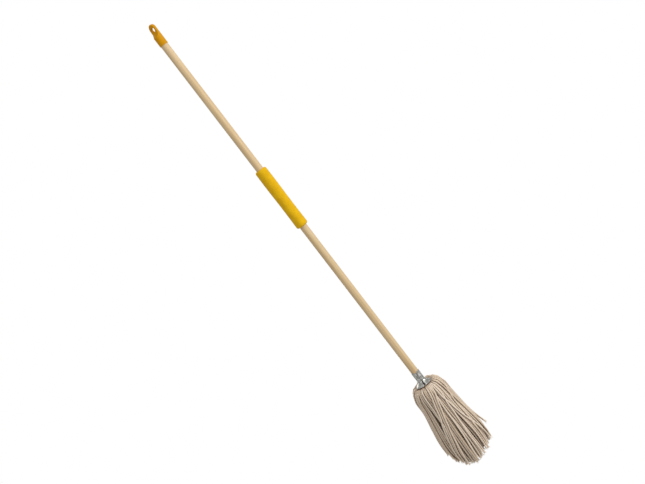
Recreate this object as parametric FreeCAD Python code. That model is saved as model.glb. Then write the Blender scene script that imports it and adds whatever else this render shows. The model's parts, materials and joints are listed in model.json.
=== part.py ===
"""Cotton string mop: wooden handle, hanging cap, foam grip, rolled steel ferrule and a yarn head.

Millimetres, +Z up. The mop hangs from the hole in its cap: the origin is on that hole's axis (+Y)
where it crosses the handle's axis, so the handle and the head hang down along -Z.
Each sub-part is one function, and each is written to its own STEP file.
"""
import FreeCAD, Part
import math
import os

from FreeCAD import Rotation, Vector

# handle
HANDLE_R = 11.0
HANDLE_LENGTH = 1200.0
HANDLE_TOP = -26.0
HANDLE_CHAMFER = 1.5

# hanging cap
CAP_R = 12.5
CAP_TOP = 16.5
CAP_BOTTOM = -49.0
CAP_ROUND = 1.5
TAB_FRONT = -1.0
TAB_BACK = 8.0
TAB_HALF_WIDTH = 11.8
TAB_BOTTOM = -9.0
SCOOP_FRONT_BOTTOM = -21.0
SCOOP_BACK_BOTTOM = -17.0
HOLE_R = 7.0
HOLE_ROUND = 1.0

# foam grip
GRIP_R = 17.6
GRIP_TOP = -474.0
GRIP_BOTTOM = -669.0
GRIP_ROUND = 5.5

# ferrule: one rolled sheet, a tube above and a flared skirt below
SHEET = 1.2
FERRULE_R = 12.4
FERRULE_TOP = -1191.3
FLARE_TOP = -1222.5
SKIRT_R = 25.5
SKIRT_RIM = -1235.2
SEAM_GAP = 1.2
MOUTH_TOP = FLARE_TOP - 1.5
MOUTH_WIDTH_TOP = 3.6
MOUTH_WIDTH_RIM = 5.0
NOTCH_WIDTH = 9.0
NOTCH_DEPTH = 4.0
FRONT_DEG = -45.0  # the side of the mop that the ferrule's seam faces

# what holds the head on
NAIL_Z = -1207.0
NAIL_R = 0.9
NAIL_LENGTH = 10.0
NAIL_HEAD_R = 2.8
NAIL_HEAD = 0.9
PLATE_R = 20.0
PLATE_TOP = -1247.0
PLATE_THICK = 1.2
SCREW_R = 2.25
SCREW_TOP = -1206.0
SCREW_HEAD_R = 4.6
SCREW_HEAD = 2.6

# yarn head
CREST_R = 31.5
CREST_Z = -1230.5
SHOULDER_R = 49.0
SHOULDER_BOTTOM = -1252.5
TUFT_TOP = -1253.0
TUFT_WIDEST = -1425.0
TUFT_INNER_R = 31.0
TUFTS = 12
TUFT_GAP_DEG = 1.3
CORE_R = 24.0
CORE_TIP_R = 14.0
CORE_BOTTOM = -1452.0
# how far out and how far down each tuft hangs, going round from the front by way of the right
TUFT_BULGE = (63.0, 64.0, 65.5, 66.5, 66.0, 65.0, 65.0, 67.0, 70.0, 73.0, 70.0, 66.0)
TUFT_END = (-1495.0, -1480.0, -1476.0, -1478.0, -1480.0, -1486.0,
            -1490.0, -1484.0, -1472.0, -1467.0, -1479.0, -1493.0)

AXIS = Vector(0, 0, 1)
ORIGIN = Vector(0, 0, 0)


def rz(r, z):
    """A point of a profile that is turned about the mop's axis."""
    return Vector(r, 0, z)


def lines(*points):
    """Straight edges through points."""
    return [Part.makeLine(a, b) for a, b in zip(points, points[1:])]


def curve(*points):
    """One smooth edge through points."""
    spline = Part.BSplineCurve()
    spline.interpolate(list(points))
    return spline.toShape()


def face(edges):
    return Part.Face(Part.Wire(Part.__sortEdges__(edges)))


def turned(edges, degrees=360.0):
    """The solid swept by a closed (r, z) profile."""
    return face(edges).revolve(ORIGIN, AXIS, degrees)


def rod(radius, bottom, top):
    return Part.makeCylinder(radius, top - bottom, Vector(0, 0, bottom))


def to_front(shape, degrees=0.0):
    """Turn a shape made facing +X until it faces the front, or degrees further round."""
    moved = shape.copy()
    moved.rotate(ORIGIN, AXIS, FRONT_DEG + degrees)
    return moved


def wedge(width_low, width_high, low, high, reach):
    """An upright slot cutter in +X whose width goes from width_low to width_high."""
    corners = [Vector(0, -width_low / 2, low), Vector(0, width_low / 2, low),
               Vector(0, width_high / 2, high), Vector(0, -width_high / 2, high)]
    return face(lines(*corners, corners[0])).extrude(Vector(reach, 0, 0))


def wooden_handle():
    """A plain round stave, chamfered at both ends, with the holes of its nail and screw."""
    bottom = HANDLE_TOP - HANDLE_LENGTH
    stave = turned(lines(
        rz(0, bottom), rz(HANDLE_R - HANDLE_CHAMFER, bottom), rz(HANDLE_R, bottom + HANDLE_CHAMFER),
        rz(HANDLE_R, HANDLE_TOP - HANDLE_CHAMFER), rz(HANDLE_R - HANDLE_CHAMFER, HANDLE_TOP),
        rz(0, HANDLE_TOP), rz(0, bottom)))
    return stave.cut(ferrule_nail()).cut(clamp_screw())


def cap_side():
    """The cap seen along X: a cup with a deep scoop in front of the tab and a small one behind it."""
    over = CAP_R + 1
    return [
        *lines(Vector(0, -CAP_R, SCOOP_FRONT_BOTTOM), Vector(0, -over, SCOOP_FRONT_BOTTOM),
               Vector(0, -over, CAP_BOTTOM), Vector(0, over, CAP_BOTTOM),
               Vector(0, over, SCOOP_BACK_BOTTOM), Vector(0, CAP_R, SCOOP_BACK_BOTTOM)),
        Part.Arc(Vector(0, CAP_R, SCOOP_BACK_BOTTOM), Vector(0, TAB_BACK + 1.4, TAB_BOTTOM - 3.4),
                 Vector(0, TAB_BACK, TAB_BOTTOM)).toShape(),
        *lines(Vector(0, TAB_BACK, TAB_BOTTOM), Vector(0, TAB_BACK, CAP_TOP + 1),
               Vector(0, TAB_FRONT, CAP_TOP + 1), Vector(0, TAB_FRONT, TAB_BOTTOM)),
        Part.Arc(Vector(0, TAB_FRONT, TAB_BOTTOM), Vector(0, TAB_FRONT - 3.4, TAB_BOTTOM - 7.0),
                 Vector(0, -CAP_R, SCOOP_FRONT_BOTTOM)).toShape(),
    ]


def cap_front():
    """The cap seen along Y: straight sides that draw in a little to the tab, and an elliptical top."""
    over = CAP_R + 1
    ellipse = Part.Ellipse(Vector(0, 0, CAP_TOP), Vector(TAB_HALF_WIDTH, 0, 0), ORIGIN)
    return [
        Part.ArcOfEllipse(ellipse, -math.pi / 2, math.pi / 2).toShape(),
        *lines(Vector(-TAB_HALF_WIDTH, 0, 0), Vector(-CAP_R - 0.2, 0, TAB_BOTTOM - 7),
               Vector(-over, 0, TAB_BOTTOM - 15), Vector(-over, 0, CAP_BOTTOM - 1),
               Vector(over, 0, CAP_BOTTOM - 1), Vector(over, 0, TAB_BOTTOM - 15),
               Vector(CAP_R + 0.2, 0, TAB_BOTTOM - 7), Vector(TAB_HALF_WIDTH, 0, 0)),
    ]


def extruded(edges, direction, reach):
    """A prism of a closed outline, running reach to each side of it."""
    prism = face(edges).extrude(direction * (2 * reach))
    prism.translate(direction * -reach)
    return prism


def hanging_cap():
    """A moulded cup with a flattened tab, its edges rounded, and a round hole to hang it by."""
    along_x, along_y = Vector(1, 0, 0), Vector(0, 1, 0)
    reach = CAP_R + 2
    cap = rod(CAP_R, CAP_BOTTOM, CAP_TOP + 2)
    cap = cap.common(extruded(cap_side(), along_x, reach)).common(extruded(cap_front(), along_y, reach))
    upper = [edge for edge in cap.Edges if edge.BoundBox.ZMin > TAB_BOTTOM - 16]
    cap = cap.makeFillet(CAP_ROUND, upper)
    cap = cap.cut(Part.makeCylinder(HOLE_R, 2 * reach, Vector(0, -reach, 0), along_y))
    rims = [edge for edge in cap.Edges
            if abs(edge.BoundBox.ZMax - HOLE_R) < 0.01 and abs(edge.BoundBox.ZMin + HOLE_R) < 0.01
            and edge.BoundBox.YLength < 0.01]
    cap = cap.makeFillet(HOLE_ROUND, rims)
    return cap.cut(rod(HANDLE_R, CAP_BOTTOM, HANDLE_TOP + 0.5))


def foam_grip():
    """A foam sleeve with rounded ends, stretched over the handle."""
    bulge = GRIP_ROUND * (1 - math.sqrt(0.5))
    return turned([
        *lines(rz(GRIP_R - GRIP_ROUND, GRIP_BOTTOM), rz(HANDLE_R, GRIP_BOTTOM),
               rz(HANDLE_R, GRIP_TOP), rz(GRIP_R - GRIP_ROUND, GRIP_TOP)),
        Part.Arc(rz(GRIP_R - GRIP_ROUND, GRIP_TOP), rz(GRIP_R - bulge, GRIP_TOP - bulge),
                 rz(GRIP_R, GRIP_TOP - GRIP_ROUND)).toShape(),
        Part.makeLine(rz(GRIP_R, GRIP_TOP - GRIP_ROUND), rz(GRIP_R, GRIP_BOTTOM + GRIP_ROUND)),
        Part.Arc(rz(GRIP_R, GRIP_BOTTOM + GRIP_ROUND), rz(GRIP_R - bulge, GRIP_BOTTOM + bulge),
                 rz(GRIP_R - GRIP_ROUND, GRIP_BOTTOM)).toShape(),
    ])


def ferrule():
    """Rolled sheet: the seam stays open, is notched at the top and widens into a slot in the skirt."""
    inner = FERRULE_R - SHEET
    sheet = turned([
        *lines(rz(inner, FLARE_TOP), rz(inner, FERRULE_TOP), rz(FERRULE_R, FERRULE_TOP),
               rz(FERRULE_R, FLARE_TOP)),
        curve(rz(FERRULE_R, FLARE_TOP), rz(14.8, FLARE_TOP - 4.8), rz(19.6, SKIRT_RIM + 4.2),
              rz(SKIRT_R, SKIRT_RIM)),
        Part.makeLine(rz(SKIRT_R, SKIRT_RIM), rz(SKIRT_R - 0.6, SKIRT_RIM - SHEET)),
        curve(rz(SKIRT_R - 0.6, SKIRT_RIM - SHEET), rz(18.8, SKIRT_RIM + 3.2), rz(13.7, FLARE_TOP - 5.4),
              rz(inner, FLARE_TOP)),
    ])
    reach = 2 * SKIRT_R
    seam = wedge(SEAM_GAP, SEAM_GAP, MOUTH_TOP - 1, FERRULE_TOP + 1, reach)
    mouth = wedge(MOUTH_WIDTH_RIM, MOUTH_WIDTH_TOP, SKIRT_RIM - 2, MOUTH_TOP, reach)
    notch = wedge(SEAM_GAP, NOTCH_WIDTH, FERRULE_TOP - NOTCH_DEPTH, FERRULE_TOP, reach)
    return sheet.cut(to_front(seam.fuse([mouth, notch]))).cut(ferrule_nail())


def ferrule_nail():
    """A round-headed nail through the back of the ferrule into the wood."""
    inward = Vector(-1, 0, 0)
    shank = Part.makeCylinder(NAIL_R, NAIL_LENGTH, Vector(FERRULE_R, 0, NAIL_Z), inward)
    head = Part.makeCylinder(NAIL_HEAD_R, NAIL_HEAD + 0.4,
                             Vector(FERRULE_R + NAIL_HEAD, 0, NAIL_Z), inward)
    return to_front(shank.fuse(head.cut(rod(FERRULE_R, NAIL_Z - 5, NAIL_Z + 5))), 180)


def clamp_plate():
    """The dished washer that squeezes the yarn up against the skirt."""
    return turned(lines(
        rz(SCREW_R, PLATE_TOP), rz(PLATE_R - 4, PLATE_TOP), rz(PLATE_R, PLATE_TOP + 2),
        rz(PLATE_R, PLATE_TOP + 2 - PLATE_THICK), rz(PLATE_R - 3.7, PLATE_TOP - PLATE_THICK),
        rz(SCREW_R, PLATE_TOP - PLATE_THICK), rz(SCREW_R, PLATE_TOP)))


def clamp_screw():
    """The screw that goes up through the plate and the yarn into the handle's end."""
    head_top = PLATE_TOP - PLATE_THICK
    return turned(lines(
        rz(0, head_top - SCREW_HEAD), rz(SCREW_HEAD_R - 1.2, head_top - SCREW_HEAD),
        rz(SCREW_HEAD_R, head_top - SCREW_HEAD + 1.2), rz(SCREW_HEAD_R, head_top),
        rz(SCREW_R, head_top), rz(SCREW_R, SCREW_TOP - 6), rz(0, SCREW_TOP),
        rz(0, head_top - SCREW_HEAD)))


def yarn_shoulder():
    """The clamped middle of the yarn: out from under the skirt, over a crest and down."""
    neck_top = HANDLE_TOP - HANDLE_LENGTH
    return turned([
        *lines(rz(SCREW_R, neck_top), rz(10.5, neck_top), rz(12.2, neck_top - 3.6),
               rz(18.0, SKIRT_RIM + 1.6), rz(SKIRT_R - 1.0, SKIRT_RIM - 1.8),
               rz(SKIRT_R + 0.5, SKIRT_RIM - 2.2)),
        curve(rz(SKIRT_R + 0.5, SKIRT_RIM - 2.2), rz(28.2, CREST_Z - 2.4), rz(CREST_R, CREST_Z),
              rz(35.2, CREST_Z - 2.0), rz(38.8, CREST_Z - 7.0), rz(43.0, CREST_Z - 12.6),
              rz(46.8, CREST_Z - 18.0), rz(SHOULDER_R - 0.6, SHOULDER_BOTTOM)),
        *lines(rz(SHOULDER_R - 0.6, SHOULDER_BOTTOM), rz(PLATE_R + 0.5, SHOULDER_BOTTOM),
               rz(PLATE_R + 0.5, PLATE_TOP + 2.2), rz(PLATE_R - 4.1, PLATE_TOP), rz(SCREW_R, PLATE_TOP),
               rz(SCREW_R, neck_top)),
    ])


def yarn_core():
    """The inner strands, which hang straight down below the clamp."""
    hollow_top = PLATE_TOP - PLATE_THICK - SCREW_HEAD - 0.4
    return turned(lines(
        rz(0, CORE_BOTTOM), rz(CORE_TIP_R, CORE_BOTTOM), rz(CORE_R, TUFT_TOP - 20),
        rz(CORE_R, TUFT_TOP), rz(0, hollow_top), rz(0, CORE_BOTTOM)))


def yarn_tuft(number):
    """One sector of the outer strands, hanging from the shoulder and swelling lower down."""
    bulge = TUFT_BULGE[number]
    end = TUFT_END[number]
    waist = SHOULDER_R + 3.5
    section = [
        curve(rz(SHOULDER_R, TUFT_TOP), rz(waist - 0.8, TUFT_TOP - 14), rz(waist, TUFT_TOP - 38),
              rz(0.62 * waist + 0.38 * bulge, TUFT_TOP - 94), rz(0.2 * waist + 0.8 * bulge, TUFT_TOP - 141),
              rz(bulge, TUFT_WIDEST), rz(bulge - 1.5, (TUFT_WIDEST + end) / 2), rz(bulge - 9.0, end)),
        *lines(rz(bulge - 9.0, end), rz(TUFT_INNER_R + 6, end + 4), rz(TUFT_INNER_R, TUFT_TOP - 60),
               rz(TUFT_INNER_R, TUFT_TOP), rz(SHOULDER_R, TUFT_TOP)),
    ]
    pitch = 360 / TUFTS
    sector = turned(section, pitch - TUFT_GAP_DEG)
    return to_front(sector, pitch * number - (pitch - TUFT_GAP_DEG) / 2)


def tuft_name(number):
    return f"yarn_tuft_{number + 1:02d}"


def write_part(name, shape):
    solids = [solid for solid in shape.Solids if solid.Volume > 1e-3]
    whole = solids[0] if len(solids) == 1 else Part.makeCompound(solids)
    box = whole.BoundBox
    print(f"{name}: {len(solids)} solid, valid {whole.isValid()}, {whole.Volume / 1000:.1f} cm3, "
          f"z {box.ZMin:.1f} to {box.ZMax:.1f}")
    whole.exportStep(f"parts/{name}.step")


def main():
    os.makedirs("parts", exist_ok=True)
    for make in (wooden_handle, hanging_cap, foam_grip, ferrule, ferrule_nail, clamp_plate,
                 clamp_screw, yarn_shoulder, yarn_core):
        write_part(make.__name__, make())
    for number in range(TUFTS):
        write_part(tuft_name(number), yarn_tuft(number))


main()
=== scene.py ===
"""The looks of the string mop: twisted cotton strands, foam, wood, plastic and galvanised steel.

Metres, in the frame's own coordinates: +Z up along the handle, the hanging hole at the origin.
Angles round the head are in degrees from the front, the side that the ferrule's seam faces.
"""
import json
import math

import bpy
import numpy as np
from mathutils import Matrix, Vector


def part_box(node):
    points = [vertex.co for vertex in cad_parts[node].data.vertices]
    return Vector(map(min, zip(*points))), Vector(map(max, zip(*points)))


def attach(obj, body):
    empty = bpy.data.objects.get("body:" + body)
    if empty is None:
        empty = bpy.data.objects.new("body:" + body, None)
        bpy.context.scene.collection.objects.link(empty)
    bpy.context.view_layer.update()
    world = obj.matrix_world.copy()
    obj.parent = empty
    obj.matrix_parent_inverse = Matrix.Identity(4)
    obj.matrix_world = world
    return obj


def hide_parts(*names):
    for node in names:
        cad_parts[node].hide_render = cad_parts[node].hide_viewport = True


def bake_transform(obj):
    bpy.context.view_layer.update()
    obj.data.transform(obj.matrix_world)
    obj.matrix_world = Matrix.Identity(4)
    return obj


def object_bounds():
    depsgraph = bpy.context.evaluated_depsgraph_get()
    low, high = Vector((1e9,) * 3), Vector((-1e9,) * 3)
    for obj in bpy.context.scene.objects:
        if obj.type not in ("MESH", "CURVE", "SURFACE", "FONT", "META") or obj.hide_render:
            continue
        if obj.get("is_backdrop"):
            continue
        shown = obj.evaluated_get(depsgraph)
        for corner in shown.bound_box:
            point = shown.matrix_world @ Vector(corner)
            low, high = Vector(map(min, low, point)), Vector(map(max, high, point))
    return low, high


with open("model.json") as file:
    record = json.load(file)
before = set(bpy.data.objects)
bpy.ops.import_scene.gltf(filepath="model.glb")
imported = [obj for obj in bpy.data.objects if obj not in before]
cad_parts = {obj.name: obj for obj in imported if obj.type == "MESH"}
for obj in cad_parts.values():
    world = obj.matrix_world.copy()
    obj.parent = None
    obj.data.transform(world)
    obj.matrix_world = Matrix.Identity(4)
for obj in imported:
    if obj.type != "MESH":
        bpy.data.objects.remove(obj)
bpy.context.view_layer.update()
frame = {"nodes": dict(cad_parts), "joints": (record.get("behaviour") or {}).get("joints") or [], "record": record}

MM = 0.001
BODY = "mop"
TUFTS = 12
TUFT_NODES = [f"yarn_tuft_{number + 1:02d}" for number in range(TUFTS)]
joints = {joint["child"]: joint for joint in frame["joints"]}
hinge = joints[TUFT_NODES[0]]["pos_m"]
FRONT = math.atan2(hinge[1], hinge[0])
HINGE_R = math.hypot(hinge[0], hinge[1])
HINGE_Z = hinge[2]

SKIRT_R = (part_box("ferrule")[1].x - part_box("ferrule")[0].x) / 2
RIM_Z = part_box("ferrule")[0].z
HANDLE_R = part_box("wooden_handle")[1].x
GRIP_LOW, GRIP_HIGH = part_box("foam_grip")
RANDOM = np.random.default_rng(20)


# ---------------------------------------------------------------- shader graphs

class Graph:
    """A material's nodes, with short calls to add and join them."""

    def __init__(self, name):
        self.material = bpy.data.materials.new(name)
        self.material.use_nodes = True
        self.tree = self.material.node_tree
        self.shader = self.tree.nodes["Principled BSDF"]

    def add(self, kind, inputs=None, **properties):
        node = self.tree.nodes.new("ShaderNode" + kind)
        for key, value in properties.items():
            setattr(node, key, value)
        for key, value in (inputs or {}).items():
            self.feed(node.inputs[key], value)
        return node

    def feed(self, socket, value):
        if isinstance(value, bpy.types.NodeSocket):
            self.tree.links.new(value, socket)
        else:
            socket.default_value = value

    def place(self, scale=(1, 1, 1), turn=(0, 0, 0)):
        """Object coordinates, stretched."""
        source = self.add("TexCoord").outputs["Object"]
        return self.add("Mapping", {"Vector": source, "Scale": scale, "Rotation": turn}).outputs[0]

    def noise(self, where, scale, detail=3.0, rough=0.5, warp=0.0):
        inputs = {"Vector": where, "Scale": scale, "Detail": detail, "Roughness": rough,
                  "Distortion": warp}
        return self.add("TexNoise", inputs).outputs["Fac"]

    def ramp(self, factor, *stops):
        """A colour ramp of (position, colour) stops; a number stands for a grey."""
        node = self.add("ValToRGB", {"Fac": factor})
        while len(node.color_ramp.elements) < len(stops):
            node.color_ramp.elements.new(0.5)
        for element, (position, colour) in zip(node.color_ramp.elements, stops):
            grey = (colour,) * 3 if isinstance(colour, (int, float)) else colour
            element.position = position
            element.color = (*grey, 1)
        return node.outputs["Color"]

    def math(self, operation, *values):
        node = self.add("Math", operation=operation)
        for socket, value in zip(node.inputs, values):
            self.feed(socket, value)
        return node.outputs[0]

    def mix(self, factor, a, b, mode="MIX"):
        node = self.add("Mix", data_type="RGBA", blend_type=mode)
        for socket, value in ((node.inputs[0], factor), (node.inputs[6], a), (node.inputs[7], b)):
            self.feed(socket, (*value, 1) if isinstance(value, tuple) and len(value) == 3 else value)
        return node.outputs[2]

    def bump(self, height, strength, distance):
        before = self.shader.inputs["Normal"].links
        inputs = {"Height": height, "Strength": strength, "Distance": distance}
        if before:
            inputs["Normal"] = before[0].from_socket
        self.feed(self.shader.inputs["Normal"], self.add("Bump", inputs).outputs[0])

    def surface(self, **inputs):
        for key, value in inputs.items():
            socket = self.shader.inputs[key.replace("_", " ")]
            self.feed(socket, (*value, 1) if isinstance(value, tuple) and len(value) == 3 else value)
        return self.material


def yarn_material():
    """Undyed cotton: each strand has its own tone, and fibres run along it. Deeper strands are painted darker, and
    the ply grooves, the strands' inward sides and the yarn under the skirt are darkened: all painted shade."""
    g = Graph("cotton_yarn")
    lay = g.add("UVMap", uv_map="yarn").outputs[0]
    fibres = g.noise(g.add("Mapping", {"Vector": lay, "Scale": (26, 420, 1)}).outputs[0], 1.0, 4, 0.6)
    slubs = g.noise(g.add("Mapping", {"Vector": lay, "Scale": (1, 60, 1)}).outputs[0], 1.0, 2)
    # the tone mixes each strand's own tone with painted shade: strands deeper in the head are given darker tones
    tone = g.add("Attribute", attribute_name="tone").outputs["Fac"]
    groove = g.add("Attribute", attribute_name="groove").outputs["Fac"]
    hollow = g.add("Attribute", attribute_name="hollow").outputs["Fac"]
    base = g.ramp(tone, (0.0, (0.31, 0.205, 0.12)), (0.3, (0.57, 0.43, 0.29)),
                  (0.65, (0.885, 0.762, 0.618)), (1.0, (0.96, 0.866, 0.738)))
    base = g.mix(g.math("MULTIPLY", slubs, 0.25), base, g.mix(0.5, base, (0.92, 0.84, 0.72)))
    # the fibre marks are the yarn's own; the darkening of the ply grooves, of the strands' inward sides and of the
    # parts under the skirt is painted shade
    darker = ((fibres, 0.45, (0.62, 0.56, 0.50)),
              (groove, 0.70, (0.55, 0.465, 0.385)),
              (hollow, 0.93, (0.42, 0.31, 0.215)))
    for pattern, strength, tint in darker:
        shaded = g.mix(1.0, base, tint, "MULTIPLY")
        base = g.mix(g.math("MULTIPLY", pattern, strength), base, shaded)
    g.bump(fibres, 0.55, 0.35 * MM)
    return g.surface(Base_Color=base, Roughness=0.92, Sheen_Weight=0.35, Sheen_Roughness=0.45,
                     Specular_IOR_Level=0.2)


def wood_material():
    """Pale straight-grained wood, lightly varnished, its grain running along the handle. Inside the ferrule it is
    painted near-black, as painted shade behind the ferrule's seam."""
    g = Graph("handle_wood")
    rings = g.noise(g.place((95, 95, 1.1)), 1.0, 2, 0.4, 0.6)
    streaks = g.noise(g.place((900, 900, 14)), 1.0, 5, 0.65)
    pores = g.noise(g.place((2600, 2600, 60)), 1.0, 2, 0.5)
    patches = g.noise(g.place((12, 12, 3.2)), 1.0, 2)
    base = g.ramp(rings, (0.30, (0.58, 0.41, 0.21)), (0.50, (0.63, 0.47, 0.26)),
                  (0.56, (0.53, 0.36, 0.178)), (0.72, (0.67, 0.51, 0.30)))
    marks = ((streaks, 0.42, 0.70, 0.40, (0.44, 0.285, 0.13)),
             (pores, 0.60, 0.72, 0.45, (0.34, 0.215, 0.10)),
             (patches, 0.35, 0.75, 0.25, (0.72, 0.57, 0.37)))
    for pattern, start, full, strength, colour in marks:
        share = g.math("MULTIPLY", g.ramp(pattern, (start, 0.0), (full, 1.0)), strength)
        base = g.mix(share, base, colour)
    height = g.add("SeparateXYZ", {"Vector": g.add("TexCoord").outputs["Object"]}).outputs[2]
    # painted shade: the wood inside the ferrule is made near-black so the seam's gap reads dark
    painted_shade_in_ferrule = g.math("LESS_THAN", height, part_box("ferrule")[1].z - 6 * MM)
    base = g.mix(painted_shade_in_ferrule, base, (0.05, 0.045, 0.04))
    g.bump(streaks, 0.25, 0.15 * MM)
    g.bump(pores, 0.2, 0.1 * MM)
    rough = g.ramp(streaks, (0.3, 0.50), (0.8, 0.66))
    return g.surface(Base_Color=base, Roughness=rough, Specular_IOR_Level=0.45)


def foam_material():
    """Yellow closed-cell foam: a skin of fine cells with a few open pores, which are painted darker as painted
    shade.
    """
    g = Graph("grip_foam")
    where = g.place()
    cells = g.add("TexVoronoi", {"Vector": where, "Scale": 1500.0}).outputs["Distance"]
    pores = g.add("TexVoronoi", {"Vector": where, "Scale": 420.0, "Randomness": 1.0}).outputs["Distance"]
    shaded_pores = g.ramp(pores, (0.10, 1.0), (0.24, 0.0))
    cloudy = g.noise(where, 60.0, 3)
    base = g.ramp(cloudy, (0.3, (0.645, 0.365, 0.003)), (0.7, (0.715, 0.425, 0.005)))
    # painted shade: the open pores are darkened
    base = g.mix(g.math("MULTIPLY", shaded_pores, 0.55), base, (0.42, 0.20, 0.004))
    g.bump(cells, 0.5, 0.25 * MM)
    g.bump(g.math("SUBTRACT", 1.0, shaded_pores), 0.6, 0.4 * MM)
    return g.surface(Base_Color=base, Roughness=0.9, Specular_IOR_Level=0.14, Sheen_Weight=0.04)


def cap_material():
    """Moulded orange-yellow plastic, satin, with faint scuffs from the hook."""
    g = Graph("cap_plastic")
    where = g.place()
    texture = g.noise(where, 2400.0, 2)
    scuffs = g.noise(g.place((900, 900, 90), (0.5, 0.2, 0)), 1.0, 4, 0.7)
    flow = g.noise(where, 45.0, 2)
    base = g.ramp(flow, (0.3, (0.53, 0.234, 0.001)), (0.7, (0.59, 0.277, 0.002)))
    worn = g.math("MULTIPLY", g.ramp(scuffs, (0.62, 0.0), (0.74, 1.0)), 0.30)
    base = g.mix(worn, base, (0.70, 0.40, 0.04))
    g.bump(texture, 0.12, 0.08 * MM)
    g.bump(scuffs, 0.10, 0.10 * MM)
    rough = g.ramp(scuffs, (0.35, 0.42), (0.75, 0.62))
    return g.surface(Base_Color=base, Roughness=rough, Specular_IOR_Level=0.09)


def galvanised_material():
    """Hot-dipped zinc: angular spangles that differ in tone and gloss, with dull oxide in between."""
    g = Graph("galvanised_steel")
    where = g.place()
    cells = g.add("TexVoronoi", {"Vector": where, "Scale": 330.0, "Randomness": 1.0})
    spangle = g.add("SeparateColor", {"Color": cells.outputs["Color"]}).outputs[0]
    fine = g.noise(where, 900.0, 4, 0.6)
    oxide = g.noise(where, 150.0, 4, 0.6)
    dents = g.noise(where, 70.0, 2)
    base = g.ramp(spangle, (0.0, (0.40, 0.395, 0.365)), (0.5, (0.58, 0.575, 0.54)),
                  (1.0, (0.83, 0.825, 0.79)))
    dull = g.math("MULTIPLY", g.ramp(oxide, (0.46, 0.0), (0.60, 1.0)), 0.6)
    base = g.mix(dull, base, (0.22, 0.23, 0.19))
    rough = g.math("ADD", g.math("MULTIPLY", spangle, 0.10), g.math("MULTIPLY", oxide, 0.26))
    g.bump(dents, 0.12, 0.4 * MM)
    g.bump(fine, 0.2, 0.06 * MM)
    return g.surface(Base_Color=base, Metallic=1.0, Roughness=g.math("ADD", rough, 0.17))


def steel_material():
    """Plain drawn steel with fine turning marks."""
    g = Graph("steel")
    marks = g.noise(g.place((500, 500, 6000)), 1.0, 3)
    base = g.ramp(marks, (0.3, (0.36, 0.36, 0.35)), (0.7, (0.52, 0.52, 0.51)))
    g.bump(marks, 0.2, 0.05 * MM)
    return g.surface(Base_Color=base, Metallic=1.0, Roughness=g.ramp(marks, (0.3, 0.28), (0.7, 0.42)))


# ---------------------------------------------------------------- meshes

class MeshParts:
    """Tubes gathered into one mesh, with a lay of the yarn (UV) and three numbers for each point: the strand's
    tone (darker for deeper strands, as painted shade), the painted shade of a ply groove by how deep in it the
    point is, and the painted shade where it is turned in between the strands or tucked under the skirt."""

    def __init__(self):
        self.points, self.quads, self.triangles = [], [], []
        self.tones, self.grooves, self.painted_shades = [], [], []
        self.quad_uv, self.triangle_uv = [], []
        self.count = 0

    def tube(self, path, radii, shape, turn=0.0, tone=0.5, hollow=1.0):
        """A closed tube along path. shape is its outline, as shares of the radius; turn is in radians for each
        metre; the last argument scales how dark the painted shade on its inward side and under the skirt is."""
        sides = len(shape)
        steps = np.linalg.norm(np.diff(path, axis=0), axis=1)
        along = np.concatenate([[0], np.cumsum(steps)])
        across, beside = carried_frames(path)
        angles = 2 * np.pi * np.arange(sides) / sides
        spun = angles[None, :] + turn * along[:, None]
        reach = radii[:, None] * shape[None, :]
        facing = (np.cos(spun)[..., None] * across[:, None, :]
                  + np.sin(spun)[..., None] * beside[:, None, :])
        rings = path[:, None, :] + reach[..., None] * facing
        rows = len(path)
        first = self.count
        ring_index = first + np.arange(rows * sides).reshape(rows, sides)
        after = np.roll(ring_index, -1, axis=1)
        quads = np.stack([ring_index[:-1], after[:-1], after[1:], ring_index[1:]], axis=-1).reshape(-1, 4)
        ends = first + rows * sides + np.arange(2)
        low = np.stack([np.full(sides, ends[0]), after[0], ring_index[0]], axis=-1)
        high = np.stack([np.full(sides, ends[1]), ring_index[-1], after[-1]], axis=-1)
        self.points += [rings.reshape(-1, 3), path[[0, -1]]]
        self.quads.append(quads)
        self.triangles += [low, high]
        self.tones.append(np.full(rows * sides + 2, tone))
        # painted shade in the ply grooves, darker the deeper the point lies in one
        depth = (shape.max() - shape) / max(shape.max() - shape.min(), 1e-6)
        self.grooves.append(np.concatenate([np.tile(depth, rows), [0.0, 0.0]]))
        # painted shade on the sides turned in between strands and under the skirt: full on the clamp end's cap,
        # half on the tip's
        painted_shade_values = hollow * painted_shade_of(path, facing)
        self.painted_shades.append(np.concatenate([painted_shade_values.ravel(), [1.0, hollow * 0.5]]))
        u = np.arange(sides + 1) / sides
        low_v, low_u = np.meshgrid(along[:-1], u[:-1], indexing="ij")
        high_v = np.repeat(along[1:, None], sides, axis=1)
        high_u = np.tile(u[1:], (rows - 1, 1))
        self.quad_uv.append(np.stack([np.stack([low_u, low_v], -1), np.stack([high_u, low_v], -1),
                                      np.stack([high_u, high_v], -1), np.stack([low_u, high_v], -1)],
                                     axis=2).reshape(-1, 2))
        self.triangle_uv.append(np.zeros((2 * sides * 3, 2)))
        self.count += rows * sides + 2

    def finish(self, name, material):
        """The gathered tubes as one smooth object."""
        mesh = bpy.data.meshes.new(name)
        quads = np.concatenate(self.quads)
        triangles = np.concatenate(self.triangles)
        faces = quads.tolist() + triangles.tolist()
        mesh.from_pydata(np.concatenate(self.points).tolist(), [], faces)
        uv = mesh.uv_layers.new(name="yarn")
        uv.data.foreach_set("uv", np.concatenate(self.quad_uv + self.triangle_uv).ravel())
        for label, values in (("tone", self.tones), ("groove", self.grooves), ("hollow", self.painted_shades)):
            attribute = mesh.attributes.new(label, "FLOAT", "POINT")
            attribute.data.foreach_set("value", np.concatenate(values).astype(np.float32))
        return finished(name, mesh, material)


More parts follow.
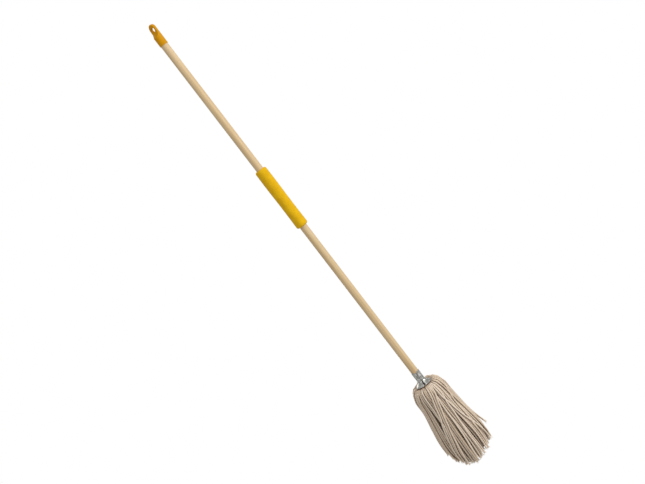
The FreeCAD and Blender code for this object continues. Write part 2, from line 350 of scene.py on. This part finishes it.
def finished(name, mesh, material):
    """A smooth-shaded object of a mesh, linked to the scene."""
    mesh.polygons.foreach_set("use_smooth", np.ones(len(mesh.polygons), bool))
    mesh.validate()
    mesh.update()
    mesh.materials.append(material)
    piece = bpy.data.objects.new(name, mesh)
    bpy.context.scene.collection.objects.link(piece)
    return piece


def ramped(start, end, value):
    """0 where value is at start or before it, 1 at end or past it, and even in between."""
    return np.clip((value - start) / (end - start), 0, 1)


# the numbers below shape the painted shade on the strands
# the dome above the hinges: its height, how far outside the skirt its top is, how far it is from there
# to the head's side, and how far it slopes inward at the skirt, from 0 to 1
DOME_HEIGHT = 15 * MM
DOME_TOP_OUT = 5.5 * MM
DOME_WIDTH = 9 * MM
DOME_INWARD = -0.6
# how much a strand's side is turned out where the painted shade on it starts, and where it is fully dark
FLANK_SHADE_START = 0.72
FLANK_SHADE_FULL = -0.18
# how much weaker that painted shade is this far below the hinges
FADED_BY = 0.3
FADED_AT = 230 * MM


def painted_shade_of(path, facing):
    """Painted shade at each point of a strand: how far it is turned in between its neighbours, or tucked under the
    skirt.
    """
    far = np.hypot(path[:, 0], path[:, 1])
    rise = ramped(HINGE_Z, HINGE_Z + DOME_HEIGHT, path[:, 2])
    slope = np.clip((far - SKIRT_R - DOME_TOP_OUT) / DOME_WIDTH, DOME_INWARD, 1)
    outward = path * ((1 - rise * (1 - slope)) / far)[:, None]
    outward[:, 2] = rise
    outward /= np.linalg.norm(outward, axis=1)[:, None]
    turned_out = (facing * outward[:, None, :]).sum(axis=-1)
    flank = ramped(FLANK_SHADE_START, FLANK_SHADE_FULL, turned_out)
    # painted shadow under the skirt's rim, on yarn near the clamp and below the rim
    near = ramped(SKIRT_R + 12 * MM, SKIRT_R + 1 * MM, far)
    low = ramped(RIM_Z + 1 * MM, RIM_Z - 3 * MM, path[:, 2])
    tucked = (near * low)[:, None]
    faded = 1 - FADED_BY * ramped(HINGE_Z, HINGE_Z - FADED_AT, path[:, 2])[:, None]
    return np.maximum(flank * faded, tucked)


def carried_frames(path):
    """Two unit directions across a path at each of its points, carried along without twisting."""
    tangents = np.gradient(path, axis=0)
    tangents /= np.linalg.norm(tangents, axis=1)[:, None]
    across = np.zeros_like(path)
    side = np.cross(tangents[0], [0.3, 0.2, 1.0])
    for i, tangent in enumerate(tangents):
        side = side - tangent * (side @ tangent)
        side /= np.linalg.norm(side)
        across[i] = side
    return across, np.cross(tangents, across)


def smooth_path(points, step):
    """A path through points, rounded as a Catmull-Rom curve and spaced evenly by about step."""
    points = np.asarray(points, float)
    padded = np.vstack([2 * points[0] - points[1], points, 2 * points[-1] - points[-2]])
    t = np.linspace(0, 1, 12, endpoint=False)[:, None]
    spans = []
    for a, b, c, d in zip(padded, padded[1:], padded[2:], padded[3:]):
        spans.append(0.5 * (2 * b + (c - a) * t + (2 * a - 5 * b + 4 * c - d) * t ** 2
                            + (3 * b - a - 3 * c + d) * t ** 3))
    fine = np.vstack([*spans, points[-1:]])
    length = np.concatenate([[0], np.cumsum(np.linalg.norm(np.diff(fine, axis=0), axis=1))])
    even = np.linspace(0, length[-1], max(int(length[-1] / step), 2) + 1)
    return np.stack([np.interp(even, length, fine[:, k]) for k in range(points.shape[1])], axis=1)


# ---------------------------------------------------------------- the yarn head

# a strand's radius, its radius at the clamp, the spacing that neighbours are pushed towards, and the
# step between a strand's cross-sections
STRAND_R = 2.8 * MM
NECK_R = 1.8 * MM
SPACING = 6.4 * MM
STEP = 2.4 * MM
PLIES = 4
# the wisps of a frayed end: how many, how many of them lie in the middle, their radius, and how far
# above the strand's end they start
WISPS = 9
MIDDLE_WISPS = 2
WISP_R = 0.92 * MM
WISP_ROOT = 4.5 * MM
# one ply of the outline: the groove, its flank, the crest and the other flank
PLY_OUTLINE = (0.72, 0.91, 1.0, 0.91)
YARN_OUTLINE = np.array(PLY_OUTLINE * PLIES)
TWIST = 2 * math.pi / (27 * MM)

# depths below the hinges at which the comb says where the strands have drifted to
COMB_DEPTHS = np.array((0.0, 24.0, 81.0, 124.0, 166.0, 208.0, 250.0)) * MM
# each row: the angle at the hinge, then the angle at each lower depth. Two rows that start together
# and part make a gap between the strands.
COMB = (
    (-180, -180, -180, -180, -180, -180, -180),
    (-90, -90, -90, -90, -91, -90, -88),
    (-73, -74, -75, -75, -75, -74, -72),
    (-58, -57, -58, -60, -61, -60, -59),
    (-42, -42.5, -42, -45, -49, -47, -46),
    (-41.9, -37, -28.5, -27, -32, -39, -41),
    (-28, -27.5, -25, -25.5, -31, -34, -35),
    (-27.9, -26.5, -22, -20.5, -20, -25, -29),
    (-17, -19, -17, -16, -16, -19, -21),
    (-16.9, -13, -13.5, -13.5, -14, -17, -19),
    (-5, -7, -8.5, -10, -10, -10, -10),
    (-4.9, -0.5, 3, 4.5, 2.5, -2, -4),
    (12, 9.5, 12, 14, 15, 14, 13),
    (12.1, 15.5, 15, 16, 17, 17, 16),
    (18, 17.8, 17.5, 18.2, 19, 20, 19),
    (18.1, 22, 22, 26, 31, 30, 27),
    (27, 28, 30, 33, 37.5, 40, 40),
    (43, 43, 44, 46, 50, 53, 54),
    (43.1, 46, 49, 50, 53, 56, 57),
    (55, 55.5, 57, 60, 65, 69, 71),
    (55.1, 59, 62, 63, 67, 71, 73),
    (66, 67, 69, 71, 78, 84, 86),
    (90, 90, 90, 91, 94, 95, 96),
    (180, 180, 180, 180, 180, 180, 180),
)
# single strands that cross over the others: the tuft, the angles at COMB_DEPTHS, and three sizes in mm:
# how far they stand proud of the outer strands, how much sooner than CROSSING_END they stop, and how
# far their end flicks out
CROSSING = (
    (12, (7, -5, -17, -29, -37, -43, -47), 3.4, 4, 0),
    (12, (0, -12, -23, -35, -43, -49, -53), 3.8, 9, 0),
    (12, (14, 2, -11, -22, -29, -34, -38), 3.2, 3, 1),
    (12, (-25, -25, -26, -29, -40, -50, -56), 2.4, 16, 0),
    (1, (-17, -9, -8, -9, -10, -12, -13), 2.2, 3, 0),
    (1, (9, 5, 4, 4, 0, -6, -9), 2.0, 12, 1),
    (2, (16, 20, 30, 41, 53, 65, 73), 2.8, 5, 2),
    (2, (24, 24, 21, 14, 12, 13, 14), 2.4, 10, 0),
    (3, (47, 52, 60, 66, 72, 80, 84), 2.4, 12, 2),
    (3, (63, 56, 50, 47, 45, 44, 43), 2.2, 6, 0),
    (4, (88, 90, 93, 92, 91, 91, 91), 2.0, 43, 8),
    (4, (100, 107, 115, 120, 123, 124, 124), 2.6, 7, 0),
    (6, (150, 160, 171, 178, 184, 188, 190), 2.8, 8, 2),
    (6, (146, 155, 165, 173, 180, 185, 188), 2.4, 16, 0),
    (8, (-158, -150, -141, -136, -133, -131, -130), 2.8, 4, 1),
    (9, (-110, -118, -127, -133, -137, -140, -141), 2.6, 10, 3),
    (10, (-84, -86, -92, -97, -99, -101, -102), 2.2, 20, 3),
    (11, (-50, -56, -62, -66, -67, -66, -64), 2.4, 14, 0),
)
# crossing strands stop at least this far above the lowest ends there
CROSSING_END = 5 * MM
# how many strands each tuft has in each layer, and how far in mm it is sunk below the surface
LAYERS = ((4, 0.0), (4, 5.8), (4, 11.6))
# how pale the strands of each layer are, from 0 to 1: the outer ones are the palest, and the deeper layers are
# painted darker as painted shade
LAYER_TONES_SHADED = (0.66, 0.40, 0.16)
OUTER_TONE = LAYER_TONES_SHADED[0]
# the inner strands are painted darkest, as painted shade
CORE_TONE_SHADED = 0.16
# the rings of inner strands: how many strands, and the ring's radius in mm
INNER_RINGS = ((20, 25.0), (14, 17.0), (7, 8.5))

LEVEL_STEP = 12 * MM
LEVELS = np.arange(22) * LEVEL_STEP
ENDS = np.array([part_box(node)[0].z for node in TUFT_NODES])
# clumps whose ends hang lower than their neighbours': the angle, the half width and how much lower
LONG_CLUMPS = ((35, 14, 4 * MM), (-22, 9, 4 * MM))
# how the strands settle: the rounds, and in each round the share of an overlap that is pushed apart,
# of a bend that is straightened, and of the way back to the planned place
ROUNDS = 70
PUSH = 0.3
STRAIGHTEN = 0.22
PULL_BACK = 0.05
# how high the crest stands round the head, in mm: everywhere, then towards the front, to the side,
# and at both front and back
CREST_WAVES = (-3.25, -4.25, 1.25, -0.5)
# the way out over the crest: how far outside the skirt and above its rim it passes, in mm, and the
# shares of a deep strand's inward shift and of the crest's lift that it takes there
CREST_WAY = (
    (-7.0, -2.6, 0.0, 0.0),
    (-1.5, -2.4, 0.0, 0.35),
    (2.0, 0.8, 0.3, 0.8),
    (5.4, 3.5, 0.6, 1.0),
    (9.4, 1.4, 1.0, 0.9),
    (13.2, -4.4, 1.2, 0.6),
    (17.0, -10.0, 1.4, 0.25),
)
# for each mm that a strand lies below the surface, how much lower and further in it crosses the crest
SUNK_DROP = 0.85
SUNK_INWARD = 0.5
# a strand's end flicks outward from this share of its length below the hinge
FLICK_FROM = 0.7


def node_profile(node):
    """A tuft's outer radius at each level, from the CAD solid."""
    mesh = frame["nodes"][node].data
    co = np.zeros(len(mesh.vertices) * 3)
    mesh.vertices.foreach_get("co", co)
    co = co.reshape(-1, 3)
    radius = np.hypot(co[:, 0], co[:, 1])
    outer = radius > HINGE_R - 1 * MM
    order = np.argsort(co[outer, 2])
    return np.interp(HINGE_Z - LEVELS, co[outer, 2][order], radius[outer][order])


PROFILES = np.array([node_profile(node) for node in TUFT_NODES])


def outer_radius(angles):
    """The head's outer radius at each strand and level, blended from tuft to tuft."""
    place = (angles / (360 / TUFTS)) % TUFTS
    low = place.astype(int) % TUFTS
    share = place - np.floor(place)
    share = share * share * (3 - 2 * share)
    level = np.arange(angles.shape[-1])[None, :]
    return PROFILES[low, level] * (1 - share) + PROFILES[(low + 1) % TUFTS, level] * share


def end_height(angle):
    """The height at which the strands end at an angle round the head."""
    place = (angle / (360 / TUFTS)) % TUFTS
    low = int(place) % TUFTS
    share = place - int(place)
    longer = sum(more * math.exp(-((angle - middle) / width) ** 2) for middle, width, more in LONG_CLUMPS)
    return ENDS[low] * (1 - share) + ENDS[(low + 1) % TUFTS] * share - longer


def combed(start):
    """Where a strand that leaves the shoulder at an angle has drifted to at each of COMB_DEPTHS."""
    whole = round(start / 360) * 360
    starts = [row[0] for row in COMB]
    return whole + np.array([np.interp(start - whole, starts, column) for column in zip(*COMB)])


def tousle(start):
    """Loose clumps all round the head: strands draw together and part, more so lower down."""
    turn = math.radians(start)
    hidden = min(abs((start + 180) % 360 - 180) / 120, 1) ** 2
    swell = np.minimum(LEVELS / (120 * MM), 1.4)
    wave = math.sin(7 * turn + 0.6) + 0.8 * math.sin(13 * turn + 2.1) + 0.5 * math.sin(19 * turn)
    return 2.2 * (0.3 + 0.7 * hidden) * swell * wave


def wander(size):
    """A strand's own slow sideways wander, none at the hinge."""
    phases = RANDOM.uniform(0, 2 * math.pi, 3)
    swell = np.minimum(LEVELS / (50 * MM), 1.0)
    waves = (np.sin(LEVELS / (13 * MM) + phases[0]) * 0.7 + np.sin(LEVELS / (24 * MM) + phases[1])
             + np.sin(LEVELS / (55 * MM) + phases[2]) * 1.5)
    return size * swell * waves


class Strand:
    """One strand's plan: who it belongs to, how deep it lies, and where it is at each level."""

    def __init__(self, owner, angles, sunk, end, flick=0.0, thick=1.0, tone=OUTER_TONE):
        self.owner, self.angles, self.sunk, self.end = owner, angles, sunk, end
        self.flick, self.thick = flick, thick
        self.tone = float(np.clip(RANDOM.normal(tone, 0.13), 0, 1))


def planned_strands():
    """Every strand before it is settled against its neighbours. Owner 0 is the inner strands."""
    pitch = 360 / TUFTS
    strands = []
    for owner in range(1, TUFTS + 1):
        for layer, (count, sunk) in enumerate(LAYERS):
            for k in range(count):
                stagger = 0.25 if layer % 2 else -0.25
                start = pitch * (owner - 1 + (k + 0.5 + stagger) / count - 0.5) + RANDOM.uniform(-0.9, 0.9)
                angles = np.interp(LEVELS, COMB_DEPTHS, combed(start)) + tousle(start) + wander(1.1)
                end = end_height(angles[-1]) + RANDOM.uniform(2, 10) * MM + layer * 3 * MM
                lift = RANDOM.uniform(0.0, 2.6) * MM
                strands.append(Strand(owner, angles, sunk * MM + lift, end, RANDOM.uniform(-5, 3) * MM,
                                      RANDOM.uniform(0.9, 1.06), LAYER_TONES_SHADED[layer]))
    for owner, route, proud, short, flick in CROSSING:
        angles = np.interp(LEVELS, COMB_DEPTHS, route) + wander(0.4)
        end = end_height(route[-1]) + CROSSING_END + short * MM
        strands.append(Strand(owner, angles, -proud * MM, end, flick * MM))
    core_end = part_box("yarn_core")[0].z
    for count, radius in INNER_RINGS:
        for k in range(count):
            angles = 360 * k / count + radius + wander(80 / radius)
            sunk = HINGE_R - radius * MM
            end = core_end + RANDOM.uniform(-26, 4) * MM
            strands.append(Strand(0, angles, sunk, end, tone=CORE_TONE_SHADED))
    return strands


def settled(strands):
    """The strands' centres at each level as (strand, level, xy), once neighbours have pushed each other
    part of the way apart."""
    angles = np.array([strand.angles for strand in strands])
    sunk = np.array([strand.sunk for strand in strands])[:, None]
    inner = np.array([strand.owner == 0 for strand in strands])[:, None]
    ripple = np.array([wander(0.35 * MM) for _ in strands])
    limit = np.where(inner, HINGE_R, outer_radius(angles)) - STRAND_R
    radius = limit - sunk + ripple
    turn = FRONT + np.radians(angles)
    wanted = np.stack([radius * np.cos(turn), radius * np.sin(turn)], axis=-1)
    spots = wanted.copy()
    farthest = np.maximum(limit, radius)
    itself = np.eye(len(strands))[:, :, None]
    for _ in range(ROUNDS):
        apart = spots[:, None] - spots[None]
        distance = np.hypot(apart[..., 0], apart[..., 1]) + itself
        overlap = np.clip(SPACING - distance, 0, None) * (1 - itself)
        spots += PUSH * (apart * (overlap / distance)[..., None]).sum(axis=1)
        spots[:, 1:-1] += STRAIGHTEN * (spots[:, :-2] + spots[:, 2:] - 2 * spots[:, 1:-1])
        spots += PULL_BACK * (wanted - spots)
        far = np.hypot(spots[..., 0], spots[..., 1])
        spots *= np.minimum(farthest / far, 1)[..., None]
    return spots


def crest_lift(angle):
    """How much higher than an even crest the yarn stands: it sinks least behind and most in front."""
    even, front, side, both = CREST_WAVES
    wave = front * math.cos(angle) + side * math.sin(angle) + both * math.cos(2 * angle)
    return (even + wave) * MM


def over_the_crest(sunk, lift):
    """The strand's way out from under the skirt and over the crest, as (radius, z)."""
    drop = sunk * SUNK_DROP
    inward = sunk * SUNK_INWARD
    way = []
    for out, up, inward_share, lift_share in CREST_WAY:
        # under the skirt the yarn can sink but can't rise
        rise = min(lift, 0) if out < 0 else lift
        radius = SKIRT_R + out * MM - inward * inward_share
        way.append((radius, RIM_Z + up * MM - drop + lift_share * rise))
    return way


def strand_path(strand, spots):
    """The strand's centre line, from the clamp to its end."""
    first = spots[0]
    away = first / np.hypot(*first)
    reach = np.hypot(*first)
    sunk = max(HINGE_R - STRAND_R - reach, -2.0 * MM)
    lift = crest_lift(math.atan2(first[1], first[0]) - FRONT)
    points = [(*(away * min(radius, reach)), z) for radius, z in over_the_crest(sunk, lift)]
    depth = HINGE_Z - strand.end
    below = np.append(LEVELS[LEVELS < depth - 0.4 * LEVEL_STEP], depth)[1:]
    for level in below:
        spot = np.array([np.interp(level, LEVELS, spots[:, k]) for k in (0, 1)])
        late = max(level / depth - FLICK_FROM, 0) / (1 - FLICK_FROM)
        spot += spot / np.hypot(*spot) * strand.flick * late ** 2
        points.append((*spot, HINGE_Z - level))
    return smooth_path(points, STEP)


def strand_radii(path, thick):
    """Squeezed thin at the clamp, full from the shoulder on, uneven as spun, and closed at the end."""
    far = np.hypot(path[:, 0], path[:, 1])
    share = ramped(SKIRT_R, HINGE_R - 7 * MM, far)
    below = ramped(HINGE_Z, HINGE_Z - 15 * MM, path[:, 2])
    radii = NECK_R + (STRAND_R * thick - NECK_R) * np.maximum(share, below)
    phase = RANDOM.uniform(0, 2 * math.pi, 2)
    short_waves = 0.035 * np.sin(path[:, 2] / (9 * MM) + phase[0])
    long_waves = 0.03 * np.sin(path[:, 2] / (23 * MM) + phase[1])
    radii *= 1 + short_waves + long_waves
    radii[-1] *= 0.55
    radii[-2] *= 0.93
    return radii


def frayed_end(parts, path, tone):
    """The strand's end comes untwisted into wisps, which part a little, each drawn out to a tip."""
    tip = path[-1]
    heading = path[-1] - path[-4]
    heading /= np.linalg.norm(heading)
    side = np.cross(heading, [0.37, 0.61, 0.2])
    side /= np.linalg.norm(side)
    other = np.cross(heading, side)
    outline = np.ones(6)
    offset = RANDOM.uniform(0, 2 * math.pi)
    for wisp in range(WISPS):
        turn = offset + 2 * math.pi * wisp / (WISPS - MIDDLE_WISPS) + RANDOM.uniform(-0.3, 0.3)
        away = side * math.cos(turn) + other * math.sin(turn)
        if wisp >= WISPS - MIDDLE_WISPS:
            away *= 0.3
        length = RANDOM.uniform(4, 10) * MM
        spread = RANDOM.uniform(0.05, 0.42)
        root = tip - heading * WISP_ROOT + away * 1.25 * MM
        knots = [root, root + heading * WISP_ROOT + away * 0.25 * MM,
                 root + heading * (WISP_ROOT + length * 0.5) + away * length * 0.5 * spread,
                 root + heading * (WISP_ROOT + length) + away * length * spread * 1.3]
        ply_path = smooth_path(knots, 1.9 * MM)
        share = np.linspace(0, 1, len(ply_path))
        radii = WISP_R * np.sqrt(np.clip(1 - share ** 2.6, 0.05, 1))
        # the wisps take a weaker painted shade on their inward sides
        parts.tube(ply_path, radii, outline, 0.0, tone, hollow=0.4)


def yarn_piece(name, material, strands, centres):
    """Some of the strands as one object."""
    parts = MeshParts()
    for strand, spots in zip(strands, centres):
        path = strand_path(strand, spots)
        turn = TWIST * RANDOM.uniform(0.92, 1.08)
        parts.tube(path, strand_radii(path, strand.thick), YARN_OUTLINE, turn, strand.tone)
        frayed_end(parts, path, strand.tone)
    piece = parts.finish(name, material)
    return piece


def yarn_head(material):
    """All the strands, one object for each tuft and one for the inner strands. The outer ones leave the fixed
    shoulder, and the inner ones stay with the clamp."""
    strands = planned_strands()
    centres = settled(strands)
    for owner in range(TUFTS + 1):
        chosen = [k for k, strand in enumerate(strands) if strand.owner == owner]
        name = f"strands_{owner:02d}" if owner else "inner_strands"
        piece = yarn_piece(name, material, [strands[k] for k in chosen], centres[chosen])
        if owner == 0:
            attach(piece, BODY)
            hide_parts("yarn_core", "yarn_shoulder")
            continue
        node = TUFT_NODES[owner - 1]
        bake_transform(piece)
        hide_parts(node)


# ---------------------------------------------------------------- the foam grip

def foam_sleeve(material):
    """The foam sleeve: rounded ends, a faintly uneven skin and a slight squeeze in the middle."""
    low, high = GRIP_LOW.z, GRIP_HIGH.z
    outer = GRIP_HIGH.x
    round_r = 5.5 * MM
    sides, rows = 144, 240
    corner = [(outer - round_r + round_r * math.sin(a), -round_r + round_r * math.cos(a))
              for a in np.linspace(0, math.pi / 2, 12)]
    lip = [(HANDLE_R + 0.02 * MM, 0.0), (HANDLE_R + 0.8 * MM, -0.1 * MM)]
    top = [(r, high + z) for r, z in lip + corner]
    bottom = [(r, low - z) for r, z in lip + corner]
    body = [(outer, z) for z in np.linspace(high - round_r, low + round_r, rows)[1:-1]]
    profile = np.array(top + body + bottom[::-1])
    angles = 2 * np.pi * np.arange(sides) / sides
    middle = (low + high) / 2
    skin = RANDOM.normal(0, 1, (len(profile), sides))
    for _ in range(2):
        skin = (skin + np.roll(skin, 1, 1) + np.roll(skin, -1, 1)) / 3
        skin[1:-1] = (skin[1:-1] + skin[2:] + skin[:-2]) / 3
    radius = np.repeat(profile[:, 0:1], sides, axis=1)
    height = np.repeat(profile[:, 1:2], sides, axis=1)
    full = np.clip((radius - HANDLE_R - 1 * MM) / (outer - HANDLE_R), 0, 1)
    swell = 0.35 * MM * np.sin((height - middle) * 38) * np.sin(angles * 2 + 0.5)
    squeeze = -0.3 * MM * np.exp(-((height - middle) / (45 * MM)) ** 2)
    radius = radius + full * (swell + squeeze + 0.16 * MM * skin)
    points = np.stack([radius * np.cos(angles), radius * np.sin(angles), height], -1).reshape(-1, 3)
    index = np.arange(len(profile) * sides).reshape(-1, sides)
    index = np.vstack([index, index[:1]])
    after = np.roll(index, -1, axis=1)
    quads = np.stack([index[:-1], index[1:], after[1:], after[:-1]], -1).reshape(-1, 4)
    mesh = bpy.data.meshes.new("foam_sleeve")
    mesh.from_pydata(points.tolist(), [], quads.tolist())
    sleeve = finished("foam_sleeve", mesh, material)
    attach(sleeve, BODY)
    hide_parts("foam_grip")


# ---------------------------------------------------------------- the stage

CAMERA_AZIMUTH = math.radians(45)
CAMERA_TILT = math.radians(6.5)
CAMERA_ROLL = math.radians(37.45)
CAMERA_Z = -0.7385
CAMERA_ASIDE = 0.0158
CAMERA_DISTANCE = 2.94
LENS_MM = 58.9
FLOOR_R = 0.8
FLOOR_BELOW = 0.87
FLOOR_SIDES = 96
SURROUNDING_GLOW = 0.52
# each lamp: what it is aimed at, where it is from there (to the right, towards the camera and up, in
# metres), its size and its power in watts
LAMPS = (
    ("key", "middle", (2.6, 1.4, 0.5), 1.7, 62),
    ("fill", "middle", (-1.8, 2.6, 0.6), 2.0, 12),
    ("above", "head", (0.7, 1.43, 3.4), 2.8, 29),
    ("behind", "middle", (-0.4, -2.6, -0.5), 2.4, 32),
)


def camera():
    """A little above the middle of the mop, and turned so that the mop lies across the picture."""
    right = Vector((math.cos(CAMERA_AZIMUTH), math.sin(CAMERA_AZIMUTH), 0))
    level = right.cross(Vector((0, 0, 1)))
    back = level * math.cos(CAMERA_TILT) + Vector((0, 0, math.sin(CAMERA_TILT)))
    up = back.cross(right)
    across = right * math.cos(CAMERA_ROLL) - up * math.sin(CAMERA_ROLL)
    upward = right * math.sin(CAMERA_ROLL) + up * math.cos(CAMERA_ROLL)
    data = bpy.data.cameras.new("camera")
    data.lens = LENS_MM
    data.sensor_width = 36
    item = bpy.data.objects.new("camera", data)
    item.matrix_world = Matrix.Translation(
        Vector((0, 0, CAMERA_Z)) + right * CAMERA_ASIDE + back * CAMERA_DISTANCE
    ) @ Matrix((across, upward, back)).transposed().to_4x4()
    bpy.context.scene.collection.objects.link(item)
    bpy.context.scene.camera = item
    return right, level


def area_light(name, place, target, size, energy):
    data = bpy.data.lights.new(name, "AREA")
    data.shape = "DISK"
    data.size = size
    data.energy = energy
    item = bpy.data.objects.new(name, data)
    item.location = place
    item.rotation_euler = (Vector(target) - Vector(place)).to_track_quat("-Z", "Y").to_euler()
    item.visible_camera = False
    bpy.context.scene.collection.objects.link(item)


def white_surroundings(glow):
    """White to the camera, and a dimmer even glow as light."""
    world = bpy.data.worlds.new("surroundings")
    world.use_nodes = True
    tree = world.node_tree
    tree.nodes.clear()
    seen = tree.nodes.new("ShaderNodeBackground")
    lit = tree.nodes.new("ShaderNodeBackground")
    lit.inputs["Strength"].default_value = glow
    for item in (seen, lit):
        item.inputs["Color"].default_value = (1, 1, 1, 1)
    path = tree.nodes.new("ShaderNodeLightPath")
    mix = tree.nodes.new("ShaderNodeMixShader")
    out = tree.nodes.new("ShaderNodeOutputWorld")
    tree.links.new(path.outputs["Is Camera Ray"], mix.inputs[0])
    tree.links.new(lit.outputs[0], mix.inputs[1])
    tree.links.new(seen.outputs[0], mix.inputs[2])
    tree.links.new(mix.outputs[0], out.inputs[0])
    bpy.context.scene.world = world


def floor():
    """A pale floor well below the hanging mop, small enough to stay out of the camera's view."""
    g = Graph("floor")
    far = g.add("VectorMath", {0: g.place()}, operation="LENGTH").outputs["Value"]
    solid = g.ramp(far, (0.0, 1.0), (0.45, 0.85), (0.8, 0.0))
    g.surface(Base_Color=(0.9, 0.9, 0.9), Roughness=0.9, Alpha=solid)
    mesh = bpy.data.meshes.new("floor")
    turns = 2 * np.pi * np.arange(FLOOR_SIDES) / FLOOR_SIDES
    edge = [(FLOOR_R * math.cos(a), FLOOR_R * math.sin(a), 0) for a in turns]
    mesh.from_pydata(edge, [], [tuple(range(FLOOR_SIDES))])
    item = finished("floor", mesh, g.material)
    item.location.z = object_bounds()[0].z - FLOOR_BELOW
    item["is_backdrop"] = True


def main():
    right, level = camera()
    bpy.context.scene.view_settings.view_transform = "Standard"
    finishes = {"handle_wood": wood_material(), "cap_plastic": cap_material(),
                "galvanised_steel": galvanised_material(), "steel": steel_material()}
    slots = {part["node"]: part["material_slot"] for part in frame["record"]["subparts"]}
    for node, item in frame["nodes"].items():
        if slots[node] in finishes:
            for k in range(len(item.material_slots)):
                item.material_slots[k].material = finishes[slots[node]]
    foam_sleeve(foam_material())
    yarn_head(yarn_material())
    white_surroundings(SURROUNDING_GLOW)
    targets = {"middle": Vector((0, 0, CAMERA_Z)), "head": Vector((0, 0, RIM_Z))}
    for name, aim, (aside, nearer, higher), size, watts in LAMPS:
        target = targets[aim]
        place = target + right * aside + level * nearer + Vector((0, 0, higher))
        area_light(name, place, target, size, watts)
    floor()


main()
